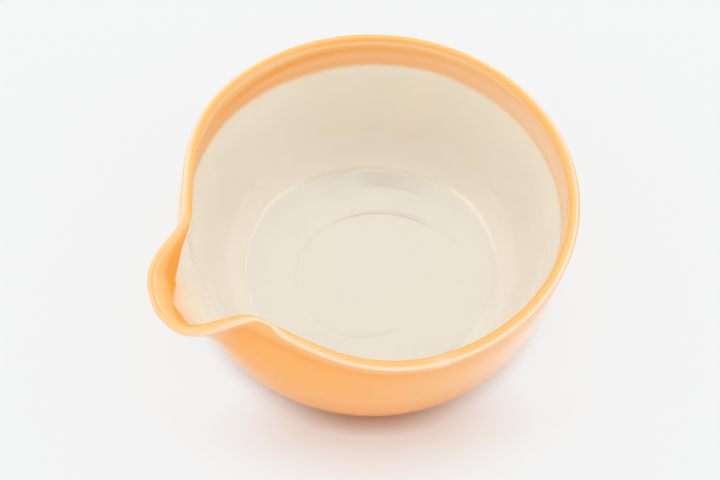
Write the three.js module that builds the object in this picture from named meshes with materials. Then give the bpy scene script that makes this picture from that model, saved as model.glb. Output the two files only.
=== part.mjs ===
// Wheel-thrown stoneware pouring bowl: a clay body with a spout pulled from its rim,
// a cream liner glaze inside, and an orange glaze outside that laps over the rim.
// Millimetres, +Z up. The origin is the middle of the flat base and the spout points along +X.
import * as THREE from "three";
import { mergeVertices } from "three/addons/utils/BufferGeometryUtils.js";

// Thrown form: the line midway through the clay wall, from the flat floor to the rim
const rimRadius = 77.5;
const bowlHeight = 63;
const floorRadius = 51.5;
const bellyRadius = 70.1;
const shoulderRadius = 72.9;
const shoulderHeight = 23.7;

// Clay thickness, tapering evenly up the wall, with a soft bead at the rim
const floorThickness = 7.4;
const neckThickness = 2.8;
const rimThickness = 3.2;
const beadDepth = 4;

// Trimmed foot: a bevel between the flat base and the belly
const bevelHeight = 2.6;
const bevelRun = 1.2;

// Spout, pulled out and a little down from the rim, fading into the wall below
const spoutReach = 16.2;
const spoutDrop = 8;
const spoutDepth = 36.7;
const lipHalfAngle = 15.5;
const channelHalfAngle = 12;
const lipSquareness = 4.5;
const dropHalfAngle = 13.5;
const dropSquareness = 2.9;

// Throat, pinched in on both sides of the spout
const pinchInset = 6.7;
const pinchAngle = 29.8;
const pinchSpread = 27.4;
const pinchDepth = 29.8;
const pullCurl = 2;

// Glaze coats and where they end
const linerThickness = 0.5;
const outerThickness = 0.6;
const linerStop = 6;
const dipStop = 13;
const glazeFootLine = 4.6;
const glazeFeather = 4;

// Mesh: columns crowd together at the spout
const columns = 64;
const columnCrowding = 0.6;
const wallRows = 9;
const lapRows = 3;
const rimRows = 6;

const clayColour = "#d9c6a8";
const linerColour = "#ebe1cf";
const outerColour = "#f7a552";

const rimHeight = bowlHeight - rimThickness / 2 - outerThickness;
const midHeight = floorThickness / 2;
const midline = new THREE.CubicBezierCurve(
  new THREE.Vector2(floorRadius, midHeight),
  new THREE.Vector2(bellyRadius, midHeight),
  new THREE.Vector2(shoulderRadius, shoulderHeight),
  new THREE.Vector2(rimRadius, rimHeight),
);

const radians = THREE.MathUtils.degToRad;
const blend = THREE.MathUtils.lerp;

// Half of the clay's thickness at a place on the midline
function halfThickness(t) {
  const depth = rimHeight - midline.getPoint(t).y;
  const bead = (rimThickness - neckThickness) * Math.exp(-((depth / beadDepth) ** 2));
  return (blend(floorThickness, neckThickness, t) + bead) / 2;
}

// How far a pull at the rim has faded at a height, 1 at the rim and 0 at its depth
function fade(height, depth) {
  const share = (height - rimHeight + depth) / depth;
  return share > 0 ? share ** pullCurl : 0;
}

// The midline turned about +Z, with the spout pulled and the throat pinched
function midSurface(angle, t) {
  const { x: radius, y: height } = midline.getPoint(t);
  const turn = Math.abs(Math.atan2(Math.sin(angle), Math.cos(angle)));
  const pull = fade(height, spoutDepth);
  const halfAngle = radians(blend(channelHalfAngle, lipHalfAngle, pull));
  const lobe = pull * Math.exp(-((turn / halfAngle) ** lipSquareness));
  const dip = pull * Math.exp(-((turn / radians(dropHalfAngle)) ** dropSquareness));
  const throat = Math.exp(-(((turn - radians(pinchAngle)) / radians(pinchSpread)) ** 2));
  const reach = radius + spoutReach * lobe - pinchInset * throat * fade(height, pinchDepth);
  return new THREE.Vector3(
    reach * Math.cos(angle),
    reach * Math.sin(angle),
    height - spoutDrop * dip,
  );
}

// A point beside the mid surface: out from the wall, and up along it
function beside(angle, { t, out, up = 0 }) {
  const step = 1e-4;
  const along = midSurface(angle + step, t).sub(midSurface(angle - step, t)).normalize();
  const rising = midSurface(angle, t + step).sub(midSurface(angle, t - step));
  const outward = along.clone().cross(rising).normalize();
  const upward = outward.clone().cross(along);
  return midSurface(angle, t).addScaledVector(outward, out).addScaledVector(upward, up);
}

// The place on the midline where a rising measure reaches a value
function placeWhere(measure, value) {
  let [low, high] = [0, 1];
  for (let i = 0; i < 40; i++) {
    const middle = (low + high) / 2;
    if (measure(middle) < value) low = middle;
    else high = middle;
  }
  return (low + high) / 2;
}

const outsideHeight = (t) => {
  const slope = midline.getTangent(t);
  return midline.getPoint(t).y - halfThickness(t) * slope.x;
};
const depthPlace = (depth) => placeWhere((t) => midline.getPoint(t).y, bowlHeight - depth);

const footPlace = placeWhere(outsideHeight, bevelHeight);
const glazeFootPlace = placeWhere(outsideHeight, glazeFootLine);
const linerPlace = depthPlace(linerStop);
const dipPlace = depthPlace(dipStop);

// Evenly spaced places from one end up to but not including the other
function places(from, to, count) {
  return Array.from({ length: count }, (_, i) => blend(from, to, i / count));
}

const outsidePlaces = places(glazeFootPlace, 1, wallRows);
const rimTurns = places(0, Math.PI, rimRows);
const insideRimPlaces = places(1, linerPlace, lapRows);
const lapPlaces = places(linerPlace, dipPlace, lapRows);
const insidePlaces = [...places(dipPlace, 0, wallRows), 0];

// A coat thins to nothing at its edges, over the feather's length of wall
const wallLength = midline.getLength();
const feather = (gap) => Math.sqrt(Math.min(1, (Math.abs(gap) * wallLength) / glazeFeather));
const linerCoat = (t) => (t < linerPlace ? linerThickness * feather(linerPlace - t) : 0);
const outsideCoat = (t) => outerThickness * feather(t - glazeFootPlace);
const insideCoat = (t) => outerThickness * feather(t - dipPlace);

// Rows of the clay's skin and of the coats, each listed from the base over the rim to the floor
const outsideRow = (t, coat) => ({ t, out: halfThickness(t) + coat });
const insideRow = (t, coat) => ({ t, out: -halfThickness(t) - coat });
const rimRow = (turn, coat) => ({
  t: 1,
  out: (halfThickness(1) + coat) * Math.cos(turn),
  up: (halfThickness(1) + coat) * Math.sin(turn),
});

const bare = () => 0;
const outsideWall = (coat) => outsidePlaces.map((t) => outsideRow(t, coat(t)));
const rim = (coat) => rimTurns.map((turn) => rimRow(turn, coat(1)));
const insideRim = (coat) => insideRimPlaces.map((t) => insideRow(t, coat(t)));
const lap = (coat) => lapPlaces.map((t) => insideRow(t, coat(t)));
const insideWall = (coat) => insidePlaces.map((t) => insideRow(t, coat(t)));

const columnAngles = Array.from({ length: columns }, (_, i) => {
  const turn = (2 * Math.PI * i) / columns;
  return turn - columnCrowding * Math.sin(turn);
});

const ringOf = (row) => columnAngles.map((angle) => beside(angle, row));
const flatRing = (radius, height) =>
  columnAngles.map(
    (angle) => new THREE.Vector3(radius * Math.cos(angle), radius * Math.sin(angle), height),
  );
const axisPoint = (height) => flatRing(0, height);

// Triangles between rings, facing away from the clay's middle, or towards it when turned
function skin(rings, turned = false) {
  const triangles = [];
  const add = (a, b, c) => {
    if (a.distanceToSquared(b) && b.distanceToSquared(c) && c.distanceToSquared(a))
      triangles.push(...(turned ? [a, c, b] : [a, b, c]));
  };
  for (let i = 0; i + 1 < rings.length; i++)
    for (let j = 0; j < columns; j++) {
      const k = (j + 1) % columns;
      add(rings[i][j], rings[i][k], rings[i + 1][k]);
      add(rings[i][j], rings[i + 1][k], rings[i + 1][j]);
    }
  return triangles;
}

// One closed piece from its skins
function piece(name, triangles, colour, roughness) {
  const geometry = mergeVertices(new THREE.BufferGeometry().setFromPoints(triangles));
  geometry.computeVertexNormals();
  const material = new THREE.MeshStandardMaterial({ color: colour, roughness, metalness: 0 });
  const mesh = new THREE.Mesh(geometry, material);
  mesh.name = name;
  return mesh;
}

function clayBody() {
  const bevelTop = outsideRow(footPlace, 0);
  const footRadius = beside(0, bevelTop).x - bevelRun;
  const base = [axisPoint(0), flatRing(footRadius, 0), ringOf(bevelTop)];
  const rows = [outsideWall(bare), rim(bare), insideRim(bare), lap(bare), insideWall(bare)].flat();
  const rings = [...base, ...rows.map(ringOf), axisPoint(floorThickness)];
  return piece("clay_body", skin(rings), clayColour, 0.9);
}

function linerGlaze() {
  const under = [...lap(bare), ...insideWall(bare)].map(ringOf);
  const over = [...lap(linerCoat), ...insideWall(linerCoat)].map(ringOf);
  const back = [...under, axisPoint(floorThickness)];
  const front = [...over, axisPoint(floorThickness + linerThickness)];
  return piece("liner_glaze", [...skin(front), ...skin(back, true)], linerColour, 0.25);
}

function outerGlaze() {
  const dipEdge = insideRow(dipPlace, linerCoat(dipPlace));
  const bothCoats = (t) => linerCoat(t) + insideCoat(t);
  const under = [outsideWall(bare), rim(bare), insideRim(bare), lap(linerCoat), dipEdge].flat();
  const over = [
    outsideWall(outsideCoat),
    rim(outsideCoat),
    insideRim(insideCoat),
    lap(bothCoats),
    dipEdge,
  ].flat();
  const faces = [...skin(over.map(ringOf)), ...skin(under.map(ringOf), true)];
  return piece("outer_glaze", faces, outerColour, 0.2);
}

const bowl = new THREE.Group();
bowl.add(clayBody(), linerGlaze(), outerGlaze());

export default bowl;
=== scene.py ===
# Spouted bowl: thrown stoneware, spout pulled from the rim, cream glaze inside, orange glaze outside
import bpy
import bmesh
import math
import numpy as np
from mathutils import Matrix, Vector


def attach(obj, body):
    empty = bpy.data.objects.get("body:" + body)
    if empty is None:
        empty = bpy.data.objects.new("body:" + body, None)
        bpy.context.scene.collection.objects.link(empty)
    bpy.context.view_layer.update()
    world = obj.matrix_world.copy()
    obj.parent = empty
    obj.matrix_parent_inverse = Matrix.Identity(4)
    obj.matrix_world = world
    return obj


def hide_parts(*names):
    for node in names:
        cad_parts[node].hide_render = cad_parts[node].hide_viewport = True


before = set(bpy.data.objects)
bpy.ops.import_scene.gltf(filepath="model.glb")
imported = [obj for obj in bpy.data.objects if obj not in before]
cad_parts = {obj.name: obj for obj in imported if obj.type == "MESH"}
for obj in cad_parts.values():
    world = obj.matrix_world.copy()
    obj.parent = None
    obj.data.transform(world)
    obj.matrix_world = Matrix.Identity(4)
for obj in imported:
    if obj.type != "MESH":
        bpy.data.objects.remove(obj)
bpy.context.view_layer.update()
scene = bpy.context.scene
mm = 0.001
print("frame loaded")

# Thrown form, shared by the clay and both coats: the line midway through the clay, turned about Z
form = {
    "rimRadius": 77.5 * mm,
    "bowlHeight": 63 * mm,
    "floorRadius": 51.5 * mm,
    "bellyRadius": 70.1 * mm,
    "shoulderRadius": 72.9 * mm,
    "shoulderHeight": 23.7 * mm,
    "floorThickness": 7.4 * mm,
    "neckThickness": 2.8 * mm,
    "rimThickness": 3.2 * mm,
    "beadDepth": 4 * mm,
    "linerThickness": 0.5 * mm,
    "outerThickness": 0.6 * mm,
    "linerStop": 6 * mm,          # where the cream coat ends, below the top of the bowl
    "dipStop": 13 * mm,           # where the orange coat ends inside
    "glazeFootLine": 4.6 * mm,    # where it ends outside, above the table
    "glazeFeather": 4 * mm,
    "columns": 320,
    "crowding": 0.45,             # columns stand closer together at the spout
    "featherRows": 10,
    "sharpAngle": math.radians(100),
}
rimHeight = form["bowlHeight"] - form["rimThickness"] / 2 - form["outerThickness"]
midHeight = form["floorThickness"] / 2

# Spout and throat, pulled and pinched from the soft rim, fading out down the wall
spout = {
    "reach": 16.2 * mm,
    "drop": 8 * mm,
    "dropHalfAngle": math.radians(13.5),
    "dropSquareness": 2.9,
    "depth": 36.7 * mm,
    "lipHalfAngle": math.radians(15.5),
    "channelHalfAngle": math.radians(12),
    "squareness": 4.5,
    "pinchInset": 6.7 * mm,
    "pinchAngle": math.radians(29.8),
    "pinchSpread": math.radians(27.4),
    "pinchDepth": 29.8 * mm,
    "curl": 2,
}
step = 1e-4                       # for slopes along and across the wall


def wallLine(t):
    # flat floor from the axis (t = -1) to its edge (t = 0), then one curve up to the rim (t = 1)
    s = np.maximum(t, 0)
    a, b, c, d = (1 - s) ** 3, 3 * s * (1 - s) ** 2, 3 * s * s * (1 - s), s ** 3
    radius = a * form["floorRadius"] + b * form["bellyRadius"]
    radius = radius + c * form["shoulderRadius"] + d * form["rimRadius"]
    height = (a + b) * midHeight + c * form["shoulderHeight"] + d * rimHeight
    return radius + np.minimum(t, 0) * form["floorRadius"], height


def halfThickness(t):
    depth = rimHeight - wallLine(t)[1]
    bead = (form["rimThickness"] - form["neckThickness"]) * np.exp(-(depth / form["beadDepth"]) ** 2)
    taper = form["floorThickness"] + (form["neckThickness"] - form["floorThickness"]) * np.maximum(t, 0)
    return (taper + bead) / 2


def fade(height, depth):
    return np.maximum((height - rimHeight + depth) / depth, 0) ** spout["curl"]


def pulledWall(angle, t):
    radius, height = wallLine(t)
    turn = np.abs(np.arctan2(np.sin(angle), np.cos(angle)))
    pull = fade(height, spout["depth"])
    halfAngle = spout["channelHalfAngle"] + (spout["lipHalfAngle"] - spout["channelHalfAngle"]) * pull
    lobe = pull * np.exp(-(turn / halfAngle) ** spout["squareness"])
    dip = pull * np.exp(-(turn / spout["dropHalfAngle"]) ** spout["dropSquareness"])
    throat = np.exp(-((turn - spout["pinchAngle"]) / spout["pinchSpread"]) ** 2)
    pinch = spout["pinchInset"] * throat * fade(height, spout["pinchDepth"])
    reach = radius + spout["reach"] * lobe - pinch
    return np.stack([reach * np.cos(angle), reach * np.sin(angle), height - spout["drop"] * dip], axis=1)


def unit(vectors):
    return vectors / np.linalg.norm(vectors, axis=1, keepdims=True)


def besideWall(angle, t, out, up):
    # a point out from the middle of the clay, and up along it where it rounds the rim
    along = unit(pulledWall(angle + step, t) - pulledWall(angle - step, t))
    rising = pulledWall(angle, t + step) - pulledWall(angle, t - step)
    outward = unit(np.cross(along, rising))
    upward = np.cross(outward, along)
    return pulledWall(angle, t) + outward * out[:, None] + upward * up[:, None]


# Where things happen along the wall line
fineLine = np.linspace(0, 1, 4001)
fineRadius, fineHeight = wallLine(fineLine)
fineSlope = np.gradient(fineRadius) / np.hypot(np.gradient(fineRadius), np.gradient(fineHeight))
fineOutside = fineHeight - halfThickness(fineLine) * fineSlope
fineSteps = np.hypot(np.diff(fineRadius), np.diff(fineHeight))
fineClimb = np.concatenate([[0], np.cumsum(fineSteps)])
wallLength = fineSteps.sum()


def outsidePlace(height):
    return float(np.interp(height, fineOutside, fineLine))


def depthPlace(depth):
    return float(np.interp(form["bowlHeight"] - depth, fineHeight, fineLine))


glazeFootPlace = outsidePlace(form["glazeFootLine"])
linerPlace = depthPlace(form["linerStop"])
dipPlace = depthPlace(form["dipStop"])
featherPlace = form["glazeFeather"] / wallLength


def feather(gap):
    return np.sqrt(np.clip(gap / featherPlace, 0, 1))


def thinning(gap):
    # inside, both coats thin to nothing without an edge
    share = np.clip(gap / featherPlace / 2, 0, 1)
    return share * share * (3 - 2 * share)


def linerCoat(t):
    return form["linerThickness"] * thinning(linerPlace - t)


def outsideCoat(t):
    return form["outerThickness"] * feather(t - glazeFootPlace)


def insideCoat(t):
    return form["outerThickness"] * thinning(t - dipPlace)


rimLift = form["rimThickness"] / 2 + form["outerThickness"]


def featherRows(edge, end, count):
    # rows close together where a coat rounds off to nothing, then evenly to the end
    inner = edge + math.copysign(featherPlace, end - edge)
    close = edge + (inner - edge) * np.linspace(0, 1, form["featherRows"], endpoint=False) ** 2
    return np.concatenate([close, np.linspace(inner, end, count)])


def skinRows(t, turn, under, coat):
    # rows of a skin: turn 0 is outside, half a turn is inside, and the rim lies between
    t, turn, under, coat = np.broadcast_arrays(t, turn, under, coat)
    lift = halfThickness(t) + under + coat
    return np.stack([t, lift * np.cos(turn), lift * np.sin(turn), coat], axis=1)


def turnRows(name, rows, closed):
    # one section of the piece, spun about the axis, then laid along the pulled wall
    bm = bmesh.new()
    layers = [bm.verts.layers.float.new(key) for key in ("place", "out", "up", "coat")]
    radius, height = wallLine(rows[:, 0])
    ahead, behind = wallLine(rows[:, 0] + step), wallLine(rows[:, 0] - step)
    rise = unit(np.stack([ahead[0] - behind[0], ahead[1] - behind[1]], axis=1))
    x = radius + rise[:, 1] * rows[:, 1] + rise[:, 0] * rows[:, 2]
    z = height - rise[:, 0] * rows[:, 1] + rise[:, 1] * rows[:, 2]
    section = []
    for i, row in enumerate(rows):
        vert = bm.verts.new((max(float(x[i]), 0), 0, float(z[i])))
        for layer, value in zip(layers, row):
            vert[layer] = float(value)
        section.append(vert)
    edges = [bm.edges.new(pair) for pair in zip(section, section[1:])]
    if closed:
        edges.append(bm.edges.new((section[-1], section[0])))
    bmesh.ops.spin(bm, geom=section + edges, cent=(0, 0, 0), axis=(0, 0, 1), angle=math.tau,
                   steps=form["columns"], use_merge=True)
    bmesh.ops.remove_doubles(bm, verts=bm.verts, dist=1e-8)
    bmesh.ops.recalc_face_normals(bm, faces=bm.faces)
    mesh = bpy.data.meshes.new(name)
    bm.to_mesh(mesh)
    bm.free()
    piece = bpy.data.objects.new(name, mesh)
    scene.collection.objects.link(piece)
    return piece


def readLayer(mesh, name):
    values = np.empty(len(mesh.vertices))
    mesh.attributes[name].data.foreach_get("value", values)
    mesh.attributes.remove(mesh.attributes[name])
    return values


def writeLayer(mesh, name, values):
    layer = mesh.attributes.new(name, "FLOAT", "POINT")
    layer.data.foreach_set("value", values.astype(np.float32))


def around(angle, centre, width):
    # 1 at an angle from the spout, easing to 0 on both sides of it
    gap = np.arctan2(np.sin(angle - centre), np.cos(angle - centre))
    return np.exp(-(gap / width) ** 2)


def shapePiece(piece, relief):
    # lay the turned mesh along the pulled wall, with the relief of its own skin
    mesh = piece.data
    spots = np.empty(len(mesh.vertices) * 3)
    mesh.vertices.foreach_get("co", spots)
    spots = spots.reshape(-1, 3)
    turned = np.arctan2(spots[:, 1], spots[:, 0])
    angle = turned - form["crowding"] * np.sin(turned)
    t, out, up, coat = [readLayer(mesh, key) for key in ("place", "out", "up", "coat")]
    t = np.maximum(t, -1 + 1e-7)
    raised = relief(angle, t, out, coat)
    lift = np.hypot(out, up)
    stretch = np.where(coat > 0, 1 + raised / lift, 1)
    mesh.vertices.foreach_set("co", besideWall(angle, t, out * stretch, up * stretch).ravel())
    mesh.polygons.foreach_set("use_smooth", np.ones(len(mesh.polygons), dtype=bool))
    mesh.set_sharp_from_angle(angle=form["sharpAngle"])
    side = np.where(out > 0, -1, 1)
    overRim = rimLift * (np.arctan2(up, out) - math.pi / 2)
    downWall = side * (rimLift * math.pi / 2 + rimHeight - wallLine(t)[1])
    way = np.where(t == 1, overRim, downWall) / mm
    writeLayer(mesh, "pooling", -raised / mm)
    for key, values in coatLayers(angle, way).items():
        writeLayer(mesh, key, values)
    mesh.update()


def noRelief(angle, t, out, coat):
    return np.zeros_like(angle)


# Node helpers
def addNode(tree, kind, inputs, **settings):
    node = tree.nodes.new("ShaderNode" + kind)
    for key, value in settings.items():
        setattr(node, key, value)
    for key, value in inputs.items():
        if isinstance(value, bpy.types.NodeSocket):
            tree.links.new(value, node.inputs[key])
        else:
            node.inputs[key].default_value = value
    return node


def maths(tree, operation, a, b):
    return addNode(tree, "Math", {0: a, 1: b}, operation=operation).outputs[0]


def mixColour(tree, factor, a, b, blend="MIX"):
    node = addNode(tree, "Mix", {0: factor, 6: a, 7: b}, data_type="RGBA", blend_type=blend)
    return node.outputs[2]


def spread(tree, value, low, high, toLow=0.0, toHigh=1.0):
    node = addNode(tree, "MapRange", {0: value, 1: low, 2: high, 3: toLow, 4: toHigh})
    return node.outputs[0]


def soft(tree, value, low, high):
    node = addNode(tree, "MapRange", {0: value, 1: low, 2: high}, interpolation_type="SMOOTHSTEP")
    return node.outputs[0]


def rampOf(tree, factor, stops):
    node = addNode(tree, "ValToRGB", {0: factor})
    elements = node.color_ramp.elements
    while len(elements) < len(stops):
        elements.new(0.5)
    for element, (position, colour) in zip(elements, stops):
        element.position = position
        element.color = (*colour, 1)
    return node.outputs[0]


def objectCoords(tree):
    return addNode(tree, "TexCoord", {}).outputs["Object"]


def objectHeight(tree):
    return addNode(tree, "SeparateXYZ", {0: objectCoords(tree)}).outputs["Z"]


def dotOf(tree, vector, direction):
    return addNode(tree, "VectorMath", {0: vector, 1: direction}, operation="DOT_PRODUCT").outputs["Value"]


def lengthOf(tree, vector):
    return addNode(tree, "VectorMath", {0: vector}, operation="LENGTH").outputs["Value"]


def noise(tree, size, detail=2.0, roughness=0.5, stretch=(1, 1, 1)):
    # noise on Object coordinates, with grains of about the given size
    placed = addNode(tree, "Mapping", {"Vector": objectCoords(tree), "Scale": stretch}).outputs[0]
    grains = {"Vector": placed, "Scale": 1 / size, "Detail": detail, "Roughness": roughness}
    return addNode(tree, "TexNoise", grains).outputs["Fac"]


def newMaterial(name):
    material = bpy.data.materials.new(name)
    material.use_nodes = True
    tree = material.node_tree
    return material, tree, tree.nodes["Principled BSDF"]


# Colour of the two coats, by the way over the rim in mm: below 0 is outside, above 0 is inside
coats = {
    "tones": {
        "wall": (0.955, 0.415, 0.083),
        "creaseShade": (0.95, 0.385, 0.061),
        # painted shade: a darker band in the hollow just below the rim
        "roll": (0.955, 0.48, 0.165),
        "edge": (0.96, 0.775, 0.575),       # thin over the outer edge, nearly bare, with a painted highlight along it
        "brow": (0.96, 0.62, 0.29),
        "top": (0.965, 0.535, 0.15),
        "rich": (0.97, 0.475, 0.11),
        # the pale line inside the rim: a glaze break with a painted highlight on it
        "line": (0.98, 0.635, 0.33),
        "inner": (0.98, 0.545, 0.185),
        "lapped": (0.97, 0.50, 0.20),      # orange over cream
        "veil": (0.97, 0.545, 0.25),
        "faded": (0.95, 0.63, 0.38),
        "tinted": (0.945, 0.86, 0.72),
        "cream": (0.95, 0.905, 0.805),
        "lip": (0.97, 0.63, 0.31),
        "stripe": (0.97, 0.68, 0.38),
        "light": (0.98, 0.565, 0.20),
        "pool": (0.99, 0.385, 0.02),
    },
    "stops": [
        (-14, "wall"), (-9, "wall"), (-7.2, "creaseShade"), (-5.6, "wall"), (-4, "roll"), (-3, "roll"),
        (-2.35, "edge"), (-1.75, "edge"), (-1, "brow"), (-0.2, "top"), (0.9, "top"), (1.7, "rich"),
        (2.1, "rich"), (3, "line"), (3.6, "line"), (4.8, "inner"), (6.6, "inner"), (8.6, "lapped"),
        (10.3, "veil"), (12.4, "lapped"), (14.5, "lapped"),
        (15.6, "faded"), (17.2, "tinted"), (22, "cream"),
    ],
    "spoutStops": [
        (-3.4, "roll"), (-2.4, "edge"), (-1.6, "brow"), (-0.3, "lip"), (0.8, "lip"), (1.6, "top"),
        (2.4, "stripe"), (3.2, "light"), (5.6, "light"), (9, "pool"), (12.3, "pool"), (12.8, "cream"),
    ],
    "gathered": (0.98, 0.385, 0.045),
    "pale": (0.97, 0.70, 0.475),
    "peach": (0.98, 0.60, 0.31),
    "slips": [                     # patches where the bands slid along the way, in mm
        (2.2, 162, 30, 5.5, 3),
        (1.6, 152, 38, -1, 1.6),
        (1.5, -80, 22, -1, 1.6),
        (0.6, -42, 22, -1, 1.6),
        (1, -160, 24, -1, 1.6),
        (2.5, 25.5, 5, -0.6, 2.4),
        (0.8, -85, 14, 3.8, 1.2),
    ],
    "sags": [(0.9, -100, 16, 7, 11), (-0.9, -141, 12, 7, 11)],
    "bands": [(0.95, -90, 42), (0.45, -165, 38), (0.12, 160, 20)],   # a thick band inside the rim
    "bandWay": 6.7,
    "bandDrops": [(1.9, -78, 20), (2, -58, 18)],
    "bandWidth": 1.5,
    "bandWidens": [(0.7, -70, 30)],
    "gathers": [(0.7, -117, 16, 2.2, 0.6), (0.4, 85, 35, 0.7, 0.55)],
    "throatGather": [(0.5, 19, 7, -2.6, -4.5)],
    "thinInside": [(0.9, 165, 43, 3.5, 8)],
    "thinInsideEnd": (15.5, 14),
    # outside, the pale on the right of the wall is a painted reflection of the white surround
    "thinAndSheenOutside": [(0.5, 142, 47, -2.6, -4), (0.95, -42, 30, -2.6, -4), (0.75, 125, 36, -9, -18)],
    # pale patches; the one at 77 degrees and the slanting one across the near throat are painted highlights
    "palePatches": [(0.7, 77, 3.4, -2, 2.6), (0.3, -85, 15, 3.4, 1.4), (0.25, 160, 15, 4.5, 2)],
    "slantGlint": (0.5, 17, 8),
    "slantStart": -2.4,
    "slantRise": 0.1,              # mm of the way per degree
    "slantWidth": 0.8,
    # painted shade on the far inner wall, by angle and way
    "backShade": [(1, -135, 55, 15, 17)],
    "inSpout": ((-24, -19), (18, 11), (-3.4, -2.6)),   # throat to throat, and inward from the outer edge
    "waver": 0.7,                  # raggedness of the dip line, in mm
    "waverSize": 6 * mm,
    "grain": 0.6,
    "grainSize": 1.2 * mm,
    "raggedWay": (5.0, 13.0),
    "raggedSpout": (6.0, 9.0),
    "raggedSpoutShare": 0.4,
    "gatherRange": (-0.7, 0.7),
    "gatherShare": (0.8, 1.1),
}


# Orange that ran together inside the spout: a leaning V, by degrees from the spout and mm of the way
pool = {
    "tipAngle": -7.5,
    "tipWay": 13.8,
    "farSlope": 0.27,
    "farCurl": 0.055,
    "nearSlope": 0.46,
    "foldAngle": -12.5,
    "foldSpread": 2.4,
    "foldWay": 1.4,
    "splitAngle": -2.1,            # the veil breaks through the pool here
    "splitSpread": 3,
    "splitWay": 1.9,
    "splitFade": 0.8,
    "width": 2.4,
    "nearWidth": 1.8,
    "nearTurn": (0, 6),
    "farWidth": 4.5,
    "farTurn": (-12, 4.5),
    "endTurn": (-18, -13),
    "leastLower": 2.2,
    "leastUpper": 1.6,
    "leastWidth": 0.3,
    "veilTurn": (-14, -5),         # a peach veil below the pool
    "veilEdge": 0.4,
    "veilReach": 6.5,
    "lipWay": 1.5,                 # places on the ramp of spoutStops
    "lightWay": 5.6,
    "rampStart": 7.5,
    "rampEnd": 12.6,
}


def ease(value, low, high):
    return np.clip((value - low) / (high - low), 0, 1)


def bump(value, centre, width):
    return np.exp(-((value - centre) / width) ** 2)


def sectors(angle, rows):
    # rows of an amount, then an angle and its width in degrees
    return sum(amount * around(angle, math.radians(middle), math.radians(width))
               for amount, middle, width in rows)


def patches(angle, way, rows):
    # rows of a sector, then its middle and its width along the way
    return sum(sectors(angle, [row[:3]]) * bump(way, *row[3:]) for row in rows)


def zones(angle, way, rows):
    # rows of a sector, then where along the way it begins and is full
    return sum(sectors(angle, [row[:3]]) * ease(way, *row[3:]) for row in rows)


def poolLayers(turn, way):
    far = np.maximum(pool["tipAngle"] - turn, 0)
    nearer = np.maximum(turn - pool["tipAngle"], 0)
    fold = bump(turn, pool["foldAngle"], pool["foldSpread"])
    split = bump(turn, pool["splitAngle"], pool["splitSpread"])
    lower = pool["tipWay"] - pool["farSlope"] * far - pool["farCurl"] * far ** 2
    lower = lower - pool["nearSlope"] * nearer + pool["foldWay"] * fold - pool["splitWay"] * split
    lower = np.maximum(lower, pool["leastLower"])
    upper = lower - pool["width"] - pool["nearWidth"] * ease(turn, *pool["nearTurn"])
    upper = np.maximum(upper - pool["farWidth"] * bump(turn, *pool["farTurn"]), pool["leastUpper"])
    lower = np.maximum(lower, upper + pool["leastWidth"])
    lip, start, end = pool["lipWay"], pool["rampStart"], pool["rampEnd"]
    aboveIt = lip + (way - lip) * (start - lip) / (upper - lip)
    inIt = start + (way - upper) * (end - start) / (lower - upper) * ease(turn, *pool["endTurn"])
    pooled = np.where(way < upper, aboveIt, inIt)
    parted = pool["lightWay"] + (pooled - pool["lightWay"]) * (1 - pool["splitFade"] * split)
    spoutWay = np.select([way < lip, way < lower], [way, np.minimum(pooled, parted)], end + way - lower)
    halo = ease(turn, *pool["veilTurn"]) * ease(way, lower, lower + pool["veilEdge"])
    halo = halo * np.exp(-np.maximum(way - lower, 0) / pool["veilReach"])
    return spoutWay, halo


def coatLayers(angle, way):
    # how the coats were dipped, ran and gathered, with painted light and shade, by the angle from the spout
    # and the way over the rim
    turn = np.degrees(np.arctan2(np.sin(angle), np.cos(angle)))
    slip = zones(angle, way, coats["sags"]) + patches(angle, way, coats["slips"])
    spoutWay, halo = poolLayers(turn, way)
    bandWay = coats["bandWay"] + sectors(angle, coats["bandDrops"])
    bandWidth = coats["bandWidth"] + sectors(angle, coats["bandWidens"])
    gather = sectors(angle, coats["bands"]) * bump(way, bandWay, bandWidth)
    gather = gather + patches(angle, way, coats["gathers"]) + zones(angle, way, coats["throatGather"])
    inside = zones(angle, way, coats["thinInside"]) * ease(way, *coats["thinInsideEnd"])
    outside = np.minimum(zones(angle, way, coats["thinAndSheenOutside"]), 1)
    slantWay = coats["slantStart"] + coats["slantRise"] * turn
    slanting = sectors(angle, [coats["slantGlint"]]) * bump(way, slantWay, coats["slantWidth"])
    farSide, nearSide, inward = coats["inSpout"]
    return {
        "wallWay": way - slip,
        "spoutWay": spoutWay,
        "inSpout": ease(turn, *farSide) * ease(turn, *nearSide) * ease(way, *inward),
        "halo": halo,
        "gather": np.clip(gather, 0, 1),
        "thinAndSheen": np.maximum(inside, outside),
        "palePatch": patches(angle, way, coats["palePatches"]) + slanting,
        "backShade": zones(angle, way, coats["backShade"]),
    }


def layer(tree, name):
    return addNode(tree, "Attribute", {}, attribute_name=name).outputs["Fac"]


def wayRamp(tree, way, stops):
    low, high = stops[0][0], stops[-1][0]
    placed = [((place - low) / (high - low), coats["tones"][tone]) for place, tone in stops]
    return rampOf(tree, spread(tree, way, low, high), placed)


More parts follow.
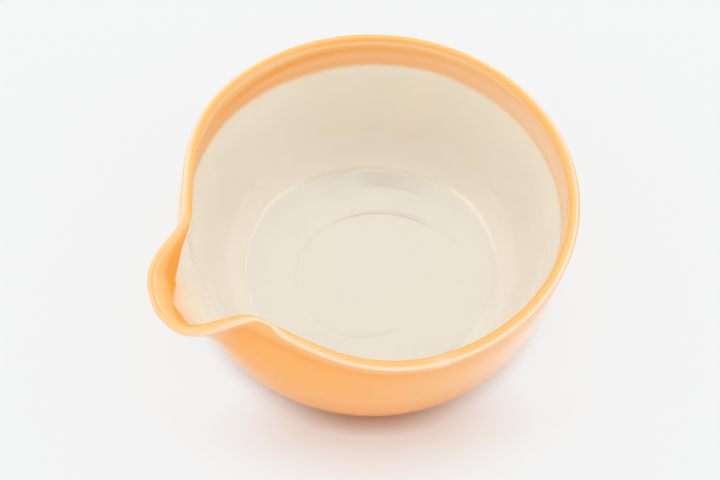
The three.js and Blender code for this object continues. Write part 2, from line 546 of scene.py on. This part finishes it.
def coatColour(tree):
    # the dip line is ragged inside, and calm outside where the coat is whole
    waver = maths(tree, "SUBTRACT", noise(tree, coats["waverSize"], 2.0), 0.5)
    grain = maths(tree, "SUBTRACT", noise(tree, coats["grainSize"], 3.0, 0.6, (1, 1, 0.45)), 0.5)
    waver = maths(tree, "MULTIPLY", waver, coats["waver"] * 2)
    grain = maths(tree, "MULTIPLY", grain, coats["grain"] * 2)
    ragged = maths(tree, "ADD", waver, grain)
    way = layer(tree, "wallWay")
    shift = maths(tree, "MULTIPLY", ragged, spread(tree, way, *coats["raggedWay"]))
    colour = wayRamp(tree, maths(tree, "ADD", way, shift), coats["stops"])
    mottled = spread(tree, ragged, *coats["gatherRange"], *coats["gatherShare"])
    gather = maths(tree, "MULTIPLY", layer(tree, "gather"), mottled)
    colour = mixColour(tree, gather, colour, (*coats["gathered"], 1))
    # thin coat inside, and a painted sheen on the right of the outer wall
    colour = mixColour(tree, layer(tree, "thinAndSheen"), colour, (*coats["pale"], 1))
    way = layer(tree, "spoutWay")
    raggedShare = spread(tree, way, *coats["raggedSpout"], 0.0, coats["raggedSpoutShare"])
    shift = maths(tree, "MULTIPLY", ragged, raggedShare)
    spoutColour = wayRamp(tree, maths(tree, "ADD", way, shift), coats["spoutStops"])
    spoutColour = mixColour(tree, layer(tree, "halo"), spoutColour, (*coats["peach"], 1))
    colour = mixColour(tree, layer(tree, "inSpout"), colour, spoutColour)
    # pale patches, among them painted highlights on the rim
    return mixColour(tree, layer(tree, "palePatch"), colour, (*coats["tones"]["edge"], 1))


# Clay body: bare only on the flat base, its bevel and the last bit below the glaze
clay = {
    "bevelHeight": 2.6 * mm,
    "bevelRun": 1.2 * mm,
    "edgeRound": 0.7 * mm,
    "edgeOut": 0.532 * mm,
    "edgeUp": 0.455 * mm,
    "colour": (0.66, 0.53, 0.37),
    "pale": (0.72, 0.60, 0.44),
    "cloudSize": 14 * mm,
    "cloudRange": (0.3, 0.7),
    "toasted": (0.62, 0.41, 0.22),  # a warm halo below the glaze
    "toastStart": 1.2 * mm,
    "toastShare": 0.7,
    "speck": (0.30, 0.20, 0.12),
    "speckSize": 1.4 * mm,
    "speckRange": (0.68, 0.74),
    "speckShare": 0.6,
    "grainSize": 0.5 * mm,
    "ringScale": 90,
    "ringDistortion": 1.5,
    "ringShare": 0.5,
    "reliefDepth": 0.15 * mm,
    "reliefStrength": 0.5,
    "roughness": 0.85,
    "rows": {"base": 24, "foot": 6, "belly": 8, "wall": 40, "rim": 10, "inside": 50, "floor": 16},
}


def clayMaterial():
    material, tree, shader = newMaterial("bare_clay")
    grain = noise(tree, clay["grainSize"], 3.0, 0.7)
    cloud = spread(tree, noise(tree, clay["cloudSize"], 3.0, 0.6), *clay["cloudRange"])
    colour = mixColour(tree, cloud, (*clay["colour"], 1), (*clay["pale"], 1))
    height = objectHeight(tree)
    toast = spread(tree, height, clay["toastStart"], form["glazeFootLine"], 0.0, clay["toastShare"])
    colour = mixColour(tree, toast, colour, (*clay["toasted"], 1))
    specks = noise(tree, clay["speckSize"], 2.0, 0.4)
    specks = spread(tree, specks, *clay["speckRange"], 0.0, clay["speckShare"])
    colour = mixColour(tree, specks, colour, (*clay["speck"], 1))
    tree.links.new(colour, shader.inputs["Base Color"])
    shader.inputs["Roughness"].default_value = clay["roughness"]
    wave = {"Vector": objectCoords(tree), "Scale": clay["ringScale"], "Detail": 2.0}
    wave["Distortion"] = clay["ringDistortion"]
    rings = addNode(tree, "TexWave", wave, wave_type="RINGS", rings_direction="Z").outputs["Fac"]
    rings = maths(tree, "MULTIPLY", rings, clay["ringShare"])
    relief = {"Strength": clay["reliefStrength"], "Distance": clay["reliefDepth"]}
    relief["Height"] = maths(tree, "ADD", rings, grain)
    tree.links.new(addNode(tree, "Bump", relief).outputs[0], shader.inputs["Normal"])
    return material


def makeClay():
    bevelPlace = outsidePlace(clay["bevelHeight"])
    place = np.array([bevelPlace])
    bevelTop = besideWall(np.array([math.pi]), place, halfThickness(place), np.zeros(1))[0]
    footRadius = -bevelTop[0] - clay["bevelRun"]
    rows = clay["rows"]
    edge = np.linspace(0, 1, rows["foot"])
    # base rows are measured from the floor's edge: along it, and down from the middle of the clay
    rounded = clay["edgeRound"] * (1 - edge) ** 2
    run = footRadius - form["floorRadius"] - rounded + clay["edgeOut"] * edge ** 2
    rise = clay["edgeUp"] * edge ** 2
    foot = np.stack([0 * edge, midHeight - rise, run, 0 * edge], axis=1)
    base = skinRows(np.linspace(-1, 0, rows["base"]), 0, 0, 0)
    belly = skinRows(np.linspace(bevelPlace, glazeFootPlace, rows["belly"], endpoint=False), 0, 0, 0)
    wall = skinRows(np.linspace(glazeFootPlace, 1, rows["wall"], endpoint=False), 0, 0, 0)
    rim = skinRows(1, np.linspace(0, math.pi, rows["rim"], endpoint=False), 0, 0)
    inside = skinRows(np.linspace(1, 0, rows["inside"], endpoint=False), math.pi, 0, 0)
    floor = skinRows(np.linspace(0, -1, rows["floor"]), math.pi, 0, 0)
    piece = turnRows("clay_bowl", np.concatenate([base, foot, belly, wall, rim, inside, floor]), False)
    shapePiece(piece, noRelief)
    piece.data.materials.append(clayMaterial())
    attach(piece, "root")
    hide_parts("clay_body")


# Cream liner: poured inside, with the marks of the thrower's fingers under it
liner = {
    "ringPitch": 8.5 * mm,
    "ringRelief": 0.035 * mm,
    "ringsUp": (12 * mm, 24 * mm),        # heights between which the rings come in and fade out
    "ringsDown": (46 * mm, 36 * mm),
    "ringsClearOfSpout": 0.8,
    "ripplePitch": 9.5 * mm,
    "rippleRelief": 0.02 * mm,
    "ripplesFull": 12 * mm,
    "cornerPlace": 50 * mm,        # along the floor and up the wall, from the axis
    "cornerRise": 0.6 * mm,
    "cornerRun": 9 * mm,
    "dishStart": 31 * mm,
    "dishRise": 1.75 * mm,
    "dishLevel": 1.4,
    "cornerRound": 0.8 * mm,
    "cornerReach": 28 * mm,
    "spiralCentre": (3.5 * mm, 3.7 * mm),
    "spiralStart": math.radians(102.8),
    "spiralRun": math.radians(323),
    "spiralRadius": 25 * mm,
    "spiralSettle": 5 * mm,
    "spiralOpening": math.radians(30),
    "spiralGrowth": 17 * mm,
    "spiralCurl": 5,
    "grooveDepth": 0.13 * mm,
    "grooveSpread": 1 * mm,
    "grooveEnds": (1 / 12, 1 / 8),        # shares of the run over which it begins and ends
    "grooveFaint": 0.6,
    "grooveDeepest": (0.78, 0.3),
    "markCentre": (-3.5 * mm, 2.1 * mm),
    "markDepth": 0.05 * mm,
    "markSpread": 2.4 * mm,
    "backShadeColour": (0.92, 0.855, 0.725),   # painted shade: darker cream on the far wall, where less light falls
    # painted shade: the bowl's floor is a darker cream than its walls, to offset the stronger light from
    # above
    "floorColour": (0.79, 0.758, 0.672),
    "floorEdge": (51 * mm, 48.6 * mm),    # where that colour begins and is full, from the axis
    "floorWider": 2.2 * mm,               # by as much further out, away from the painted shade on the far wall
    "cloudSize": 22 * mm,
    "cloudRange": (0.35, 0.65),
    "cloudShade": 0.975,
    "pooled": (0.72, 0.62, 0.47),
    "pooledRange": (0.03, 0.14),          # depth of a hollow, in mm
    "pooledShare": 0.3,
    "roughness": 0.07,
    "middlePlace": -0.66,                 # the floor's rows stand further apart inside this
    "rows": {"lap": 12, "wall": 64, "floor": 100, "middle": 16, "backFloor": 8, "backWall": 24},
}


def linerRelief(angle, t, out, coat):
    radius, height = wallLine(t)
    x, y = radius * np.cos(angle), radius * np.sin(angle)
    onFloor = np.clip(-t * 20, 0, 1)
    climb = np.where(t < 0, radius, form["floorRadius"] + np.interp(t, fineLine, fineClimb))
    past = climb - liner["cornerPlace"]
    run = (past + np.hypot(past, liner["cornerRound"])) / 2
    corner = liner["cornerRise"] * (1 - np.exp(-run / liner["cornerRun"]))
    share = np.maximum(climb - liner["dishStart"], 0) / (liner["cornerPlace"] - liner["dishStart"])
    corner = corner + liner["dishRise"] * share ** 2 / np.sqrt(1 + (share / liner["dishLevel"]) ** 4)
    corner = corner * np.exp(-(np.maximum(past, 0) / liner["cornerReach"]) ** 2)
    rings = liner["ringRelief"] * np.sin(math.tau * height / liner["ringPitch"] + angle)
    rings = rings * ease(height, *liner["ringsUp"]) * ease(height, *liner["ringsDown"])
    rings = rings * (1 - around(angle, 0, liner["ringsClearOfSpout"]))
    ripples = liner["rippleRelief"] * np.sin(math.tau * radius / liner["ripplePitch"] + angle) * onFloor
    ripples = ripples * ease(radius, 0, liner["ripplesFull"])
    # finger spiral, clockwise from its start, opening quickly, settling and running out to the wall
    dx, dy = x - liner["spiralCentre"][0], y - liner["spiralCentre"][1]
    run = np.mod(liner["spiralStart"] - np.arctan2(dy, dx), math.tau)
    share = run / liner["spiralRun"]
    reach = liner["spiralRadius"] + liner["spiralSettle"] * (1 - np.exp(-run / liner["spiralOpening"]))
    reach = reach + liner["spiralGrowth"] * share ** liner["spiralCurl"]
    start, end = liner["grooveEnds"]
    faint = liner["grooveFaint"]
    ends = ease(share, 0, start) * ease(share, 1, 1 - end)
    ends = ends * (faint + (1 - faint) * bump(share, *liner["grooveDeepest"]))
    offset = (np.hypot(dx, dy) - reach) / liner["grooveSpread"]
    groove = -liner["grooveDepth"] * np.exp(-offset ** 2) * ends
    mark = np.hypot(x - liner["markCentre"][0], y - liner["markCentre"][1]) / liner["markSpread"]
    dimple = -liner["markDepth"] * np.exp(-mark ** 2)
    raised = corner + rings + ripples + (groove + dimple) * (t < 0)
    return np.where(coat > 0, raised * np.minimum(coat / form["linerThickness"], 1), 0)


# Both glazes are glossy, with a faint orange peel
glaze = {
    "ior": 1.52,
    "peelSize": 7 * mm,
    "peelDepth": 0.03 * mm,
    "peelStrength": 0.15,
}


def glazeShader(tree, shader, colour, roughness):
    tree.links.new(colour, shader.inputs["Base Color"])
    shader.inputs["Roughness"].default_value = roughness
    shader.inputs["IOR"].default_value = glaze["ior"]
    peel = {"Strength": glaze["peelStrength"], "Distance": glaze["peelDepth"]}
    peel["Height"] = noise(tree, glaze["peelSize"], 1.0)
    tree.links.new(addNode(tree, "Bump", peel).outputs[0], shader.inputs["Normal"])


def linerMaterial():
    material, tree, shader = newMaterial("cream_glaze")
    colour = coatColour(tree)
    flat = addNode(tree, "VectorMath", {0: objectCoords(tree), 1: (1, 1, 0)}, operation="MULTIPLY").outputs[0]
    backShade = layer(tree, "backShade")
    wider = spread(tree, backShade, 0.0, 1.0, liner["floorWider"], 0.0)
    inward = maths(tree, "SUBTRACT", lengthOf(tree, flat), wider)
    onFloor = spread(tree, inward, *liner["floorEdge"])
    colour = mixColour(tree, backShade, colour, (*liner["backShadeColour"], 1))
    # painted shade on the floor of the bowl
    colour = mixColour(tree, onFloor, colour, (*liner["floorColour"], 1))
    cloud = noise(tree, liner["cloudSize"], 3.0, 0.55)
    cloud = spread(tree, cloud, *liner["cloudRange"], liner["cloudShade"], 1.0)
    shade = addNode(tree, "CombineColor", {0: cloud, 1: cloud, 2: cloud}).outputs[0]
    colour = mixColour(tree, 1.0, colour, shade, "MULTIPLY")
    pooling = spread(tree, layer(tree, "pooling"), *liner["pooledRange"], 0.0, liner["pooledShare"])
    colour = mixColour(tree, pooling, colour, (*liner["pooled"], 1))
    glazeShader(tree, shader, colour, liner["roughness"])
    return material


def makeLiner():
    rows = liner["rows"]
    lap = np.linspace(linerPlace, dipPlace, rows["lap"], endpoint=False)
    wall = np.linspace(dipPlace, 0, rows["wall"], endpoint=False)
    floor = np.linspace(0, liner["middlePlace"], rows["floor"], endpoint=False)
    middle = np.linspace(liner["middlePlace"], -1, rows["middle"])
    front = np.concatenate([lap, wall, floor, middle])
    front = skinRows(front, math.pi, 0, linerCoat(front))
    backFloor = np.linspace(-1, 0, rows["backFloor"], endpoint=False)
    backWall = np.linspace(0, linerPlace, rows["backWall"])[:-1]
    back = skinRows(np.concatenate([backFloor, backWall]), math.pi, 0, 0)
    piece = turnRows("cream_liner", np.concatenate([back, front]), False)
    shapePiece(piece, linerRelief)
    piece.data.materials.append(linerMaterial())
    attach(piece, "root")
    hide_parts("liner_glaze")


# Orange coat: outside, over the rim and lapped over the liner
outer = {
    "ringPitch": 7 * mm,
    "ringRelief": 0.012 * mm,
    "ringsFrom": (7 * mm, 13 * mm),       # depths between which the rings come in
    "neckRelief": 0.15 * mm,
    "neckDepth": 5.2 * mm,
    "neckSpread": 1.5 * mm,
    "rollRelief": 0.18 * mm,       # the glaze gathers in a soft roll above its edge at the foot
    "rollPlace": 3.2 * mm,
    "rollSpread": 1.8 * mm,
    "cloud": (0.96, 0.50, 0.19),
    "cloudSize": 16 * mm,
    "cloudRange": (0.3, 0.7),
    "cloudShare": 0.14,
    "mottle": (0.97, 0.53, 0.22),
    "mottleSize": 2.2 * mm,
    "mottleRange": (0.35, 0.7),
    "mottleShare": 0.10,
    "footShadeColour": (0.93, 0.32, 0),
    "footFade": (35 * mm, 16 * mm),       # painted shade: heights where it begins and is full
    "pooled": (0.93, 0.34, 0.06),
    "pooledRange": (0.0, 0.25),           # depth of a hollow, in mm
    "pooledShare": 0.4,
    "roughness": 0.12,
    "rows": {"outside": 72, "rim": 28, "neck": 10, "lap": 8},
    "backRows": {"lap": 10, "neck": 6, "rim": 10, "wall": 40},
}


def outerRelief(angle, t, out, coat):
    height = wallLine(t)[1]
    depth = form["bowlHeight"] - height
    outside = (out > 0) & (t < 1)
    rings = outer["ringRelief"] * np.sin(math.tau * height / outer["ringPitch"] + angle)
    rings = rings * ease(depth, *outer["ringsFrom"])
    neck = -outer["neckRelief"] * np.exp(-((depth - outer["neckDepth"]) / outer["neckSpread"]) ** 2)
    climb = (t - glazeFootPlace) * wallLength
    roll = outer["rollRelief"] * np.exp(-((climb - outer["rollPlace"]) / outer["rollSpread"]) ** 2)
    raised = np.where(outside, rings + neck + roll, 0)
    return np.where(coat > 0, raised * np.minimum(coat / form["outerThickness"], 1), 0)


def outerMaterial():
    material, tree, shader = newMaterial("orange_glaze")
    colour = coatColour(tree)
    cloud = noise(tree, outer["cloudSize"], 3.0, 0.55)
    cloud = spread(tree, cloud, *outer["cloudRange"], 0.0, outer["cloudShare"])
    colour = mixColour(tree, cloud, colour, (*outer["cloud"], 1))
    mottle = noise(tree, outer["mottleSize"], 4.0, 0.6)
    mottle = spread(tree, mottle, *outer["mottleRange"], 0.0, outer["mottleShare"])
    colour = mixColour(tree, mottle, colour, (*outer["mottle"], 1))
    # painted shade: deeper orange towards the foot, where the wall faces the shaded floor
    low = spread(tree, objectHeight(tree), *outer["footFade"])
    colour = mixColour(tree, low, colour, (*outer["footShadeColour"], 1))
    pooling = spread(tree, layer(tree, "pooling"), *outer["pooledRange"], 0.0, outer["pooledShare"])
    colour = mixColour(tree, pooling, colour, (*outer["pooled"], 1))
    glazeShader(tree, shader, colour, outer["roughness"])
    return material


def makeOuter():
    rows = outer["rows"]
    outside = featherRows(glazeFootPlace, 1, rows["outside"])[:-1]
    rimTurns = np.linspace(0, math.pi, rows["rim"], endpoint=False)
    neck = np.linspace(1, linerPlace, rows["neck"], endpoint=False)
    lap = featherRows(dipPlace, linerPlace, rows["lap"])[::-1]
    front = np.concatenate([
        skinRows(outside, 0, 0, outsideCoat(outside)),
        skinRows(1, rimTurns, 0, form["outerThickness"]),
        skinRows(neck, math.pi, 0, insideCoat(neck)),
        skinRows(lap, math.pi, linerCoat(lap), insideCoat(lap)),
    ])
    rows = outer["backRows"]
    backLap = np.linspace(dipPlace, linerPlace, rows["lap"])[1:]
    back = np.concatenate([
        skinRows(backLap, math.pi, linerCoat(backLap), 0),
        skinRows(np.linspace(linerPlace, 1, rows["neck"])[1:], math.pi, 0, 0),
        skinRows(1, np.linspace(math.pi, 0, rows["rim"])[1:-1], 0, 0),
        skinRows(np.linspace(1, glazeFootPlace, rows["wall"], endpoint=False), 0, 0, 0),
    ])
    piece = turnRows("orange_coat", np.concatenate([front, back]), True)
    shapePiece(piece, outerRelief)
    piece.data.materials.append(outerMaterial())
    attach(piece, "root")
    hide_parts("outer_glaze")


makeClay()
print("clay body made")
makeLiner()
print("cream liner made")
makeOuter()
print("orange coat made")

# Camera, from the photograph: the spout points to the left and towards the viewer
view = {
    "lens": 75,
    "sensor": 36,
    "clipStart": 10 * mm,
    "imageSize": (720, 480),
    "azimuth": math.radians(147.82),
    "elevation": math.radians(54.62),
    "distance": 575.4 * mm,
    "rimPixel": (371.2, 192.93),
}


def makeCamera():
    camera = bpy.data.objects.new("camera", bpy.data.cameras.new("camera"))
    camera.data.lens = view["lens"]
    camera.data.sensor_width = view["sensor"]
    camera.data.clip_start = view["clipStart"]
    scene.collection.objects.link(camera)
    rimCentre = Vector((0, 0, rimHeight))
    azimuth, elevation = view["azimuth"], view["elevation"]
    back = Vector((math.sin(azimuth) * math.cos(elevation), -math.cos(azimuth) * math.cos(elevation),
                   math.sin(elevation)))
    across = Vector((0, 0, 1)).cross(back).normalized()
    upward = back.cross(across)
    perPixel = view["distance"] * view["sensor"] / view["lens"] / view["imageSize"][0]
    right = (view["imageSize"][0] / 2 - view["rimPixel"][0]) * perPixel
    down = (view["imageSize"][1] / 2 - view["rimPixel"][1]) * perPixel
    target = rimCentre + across * right - upward * down
    camera.location = rimCentre + back * view["distance"]
    camera.rotation_euler = (target - camera.location).to_track_quat("-Z", "Y").to_euler()
    scene.camera = camera
    return across, Vector((-back.x, -back.y, 0)).normalized()


across, away = makeCamera()

# Pale floor, a white surround that is brighter at the sides and low down, and a window of panes overhead
studio = {
    "floorRadius": 3.0,
    "floorSegments": 96,
    "floorColour": (0.90, 0.905, 0.905),
    "floorRoughness": 0.9,
    "floorSpecular": 0.2,
    "contactShadowColour": (0.62, 0.36, 0.24),    # painted shadow: warm shade at the foot, on the viewer's side
    "closeReach": 10.8 * mm,
    "closeSamples": 16,
    "closeShade": (0.85, 0.27),           # how open the ground is where it begins and is full
    "closeWidth": (52 * mm, 4 * mm),
    "groundColour": (0.905, 0.91, 0.915),
    "clearing": 0.88,
    "clearFrom": (67 * mm, 110 * mm),     # distances where the plain ground begins and is full
    "skirt": (62 * mm, 76 * mm),          # the same behind the bowl and at its sides
    "behind": (-62 * mm, -20 * mm),
    "leanLeft": 0.56,                     # how far the plain ground comes forward at each side
    "leanRight": 0.38,
    "leanFade": (115 * mm, 85 * mm),
    "surround": 0.85,
    "sideGlow": 0.3,
    "lowGlow": 0.46,
    "lowHeight": 0.6,
    "paneHeight": 1.0,
    "paneRadiance": 2.2,
    "panes": [                    # left, right, near and far edge of each pane
        (-0.22, 0.22, 0.485, 0.95),
        (-0.22, -0.049, 0.40, 0.485),
        (-0.037, -0.029, 0.40, 0.485),
        (-0.029, 0.011, 0.40, 0.43),
        (0.011, 0.031, 0.40, 0.485),
        (0.043, 0.22, 0.40, 0.485),
    ],
}


def addPane(name, place, size):
    lamp = bpy.data.lights.new(name, "AREA")
    lamp.shape = "RECTANGLE"
    lamp.size, lamp.size_y = size
    lamp.energy = studio["paneRadiance"] * math.pi * size[0] * size[1]
    pane = bpy.data.objects.new(name, lamp)
    pane.location = place
    pane.rotation_euler = (0, 0, math.atan2(across.y, across.x))
    pane.visible_camera = False
    scene.collection.objects.link(pane)


def floorMaterial():
    # close to the bowl, on the viewer's side, a warm shadow is painted on the floor, and away from it the
    # ground is plain white
    material, tree, shader = newMaterial("floor")
    coords = objectCoords(tree)
    aside, ahead = dotOf(tree, coords, across), dotOf(tree, coords, away)
    distance = lengthOf(tree, coords)
    reach = {"Distance": studio["closeReach"]}
    clearOf = addNode(tree, "AmbientOcclusion", reach, samples=studio["closeSamples"]).outputs["AO"]
    inFront = soft(tree, maths(tree, "ABSOLUTE", aside, 0), *studio["closeWidth"])
    close = maths(tree, "MULTIPLY", spread(tree, clearOf, *studio["closeShade"]), inFront)
    colour = mixColour(tree, close, (*studio["floorColour"], 1), (*studio["contactShadowColour"], 1))
    tree.links.new(colour, shader.inputs["Base Color"])
    shader.inputs["Roughness"].default_value = studio["floorRoughness"]
    shader.inputs["Specular IOR Level"].default_value = studio["floorSpecular"]
    left = maths(tree, "MULTIPLY", aside, -studio["leanLeft"])
    right = maths(tree, "MULTIPLY", aside, studio["leanRight"])
    lean = maths(tree, "MAXIMUM", left, right)
    lean = maths(tree, "MULTIPLY", lean, soft(tree, distance, *studio["leanFade"]))
    behind = soft(tree, maths(tree, "ADD", ahead, lean), *studio["behind"])
    beyond = maths(tree, "MULTIPLY", behind, soft(tree, distance, *studio["skirt"]))
    clear = soft(tree, distance, *studio["clearFrom"])
    either = maths(tree, "ADD", clear, beyond)
    clear = maths(tree, "SUBTRACT", either, maths(tree, "MULTIPLY", clear, beyond))
    clear = maths(tree, "MULTIPLY", clear, studio["clearing"])
    path = addNode(tree, "LightPath", {}).outputs
    seen = maths(tree, "MAXIMUM", path["Is Camera Ray"], path["Is Glossy Ray"])
    ground = addNode(tree, "Emission", {"Color": (*studio["groundColour"], 1)}).outputs[0]
    share = maths(tree, "MULTIPLY", seen, clear)
    both = addNode(tree, "MixShader", {0: share, 1: shader.outputs[0], 2: ground})
    tree.links.new(both.outputs[0], tree.nodes["Material Output"].inputs["Surface"])
    return material


def makeStudio():
    bm = bmesh.new()
    circle = {"segments": studio["floorSegments"], "radius": studio["floorRadius"]}
    bmesh.ops.create_circle(bm, cap_ends=True, **circle)
    mesh = bpy.data.meshes.new("floor")
    bm.to_mesh(mesh)
    bm.free()
    floor = bpy.data.objects.new("floor", mesh)
    scene.collection.objects.link(floor)
    mesh.materials.append(floorMaterial())
    world = bpy.data.worlds.new("surround")
    world.use_nodes = True
    sky = world.node_tree
    heading = addNode(sky, "TexCoord", {}).outputs["Generated"]
    sideways = maths(sky, "ABSOLUTE", dotOf(sky, heading, across), 0)
    sides = maths(sky, "MULTIPLY", maths(sky, "POWER", sideways, 2), studio["sideGlow"])
    height = addNode(sky, "SeparateXYZ", {0: heading}).outputs["Z"]
    low = spread(sky, height, studio["lowHeight"], 0.0, 0.0, studio["lowGlow"])
    level = maths(sky, "ADD", maths(sky, "ADD", sides, low), studio["surround"])
    sky.links.new(level, sky.nodes["Background"].inputs["Strength"])
    sky.nodes["Background"].inputs["Color"].default_value = (1, 1, 1, 1)
    scene.world = world
    for i, (left, right, near, far) in enumerate(studio["panes"]):
        place = across * (left + right) / 2 + away * (near + far) / 2
        place.z = studio["paneHeight"]
        addPane(f"pane_{i}", place, (right - left, far - near))


makeStudio()
scene.view_settings.view_transform = "Standard"
print("camera and studio set")
